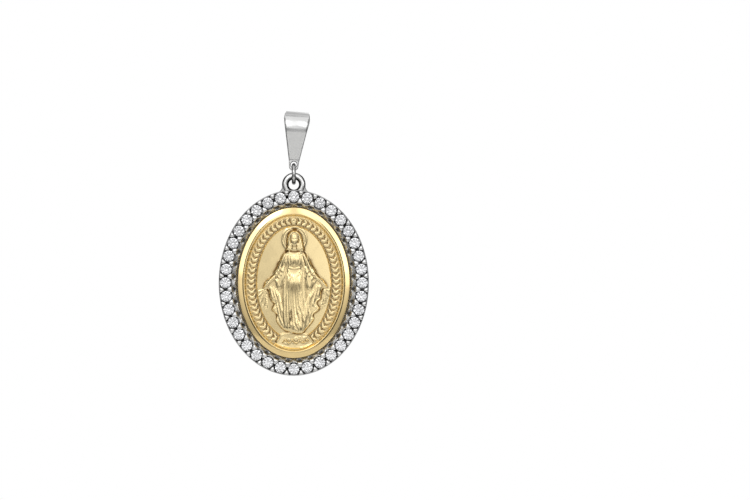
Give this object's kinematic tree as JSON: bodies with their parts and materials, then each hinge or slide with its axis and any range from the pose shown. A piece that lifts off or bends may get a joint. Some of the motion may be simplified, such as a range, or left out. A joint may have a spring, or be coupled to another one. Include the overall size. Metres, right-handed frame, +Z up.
{
  "type": "religious medal pendant",
  "caption": "Oval two-sided religious medal in a stone-set halo, hung from a tapered strap bail by a jump ring.",
  "frame": {"origin": "inside top of the bail's loop, where the chain bears", "axes": "+Z up, +X to the right as seen from the front, +Y to the back: the figure faces -Y"},
  "size_m": [0.018, 0.0038, 0.0318],
  "materials": {
    "white_metal": "polished",
    "yellow_gold": "polished and matte",
    "clear_stone": "faceted"
  },
  "bodies": {
    "bail": {"bail": "white_metal"},
    "jump_ring": {"jump_ring": "white_metal"},
    "medal": {"setting": "white_metal", "medal": "yellow_gold", "stone_01": "clear_stone", "stone_02": "clear_stone", "stone_03": "clear_stone", "stone_04": "clear_stone", "stone_05": "clear_stone", "stone_06": "clear_stone", "stone_07": "clear_stone", "stone_08": "clear_stone", "stone_09": "clear_stone", "stone_10": "clear_stone", "stone_11": "clear_stone", "stone_12": "clear_stone", "stone_13": "clear_stone", "stone_14": "clear_stone", "stone_15": "clear_stone", "stone_16": "clear_stone", "stone_17": "clear_stone", "stone_18": "clear_stone", "stone_19": "clear_stone", "stone_20": "clear_stone", "stone_21": "clear_stone", "stone_22": "clear_stone", "stone_23": "clear_stone", "stone_24": "clear_stone", "stone_25": "clear_stone", "stone_26": "clear_stone", "stone_27": "clear_stone", "stone_28": "clear_stone", "stone_29": "clear_stone", "stone_30": "clear_stone", "stone_31": "clear_stone", "stone_32": "clear_stone", "stone_33": "clear_stone", "stone_34": "clear_stone", "stone_35": "clear_stone", "stone_36": "clear_stone"}
  },
  "joints": [
    {"name": "sideways_swing", "type": "hinge", "parent": "bail", "child": "jump_ring", "pos_m": [-0.00041, 0, -0.0059], "axis": [0, 1, 0], "range_deg": [-75, 75]},
    {"name": "front_back_swing", "type": "hinge", "parent": "jump_ring", "child": "medal", "pos_m": [-0.00041, 0, -0.00697], "axis": [1, 0, 0], "range_deg": [-80, 80]}
  ]
}
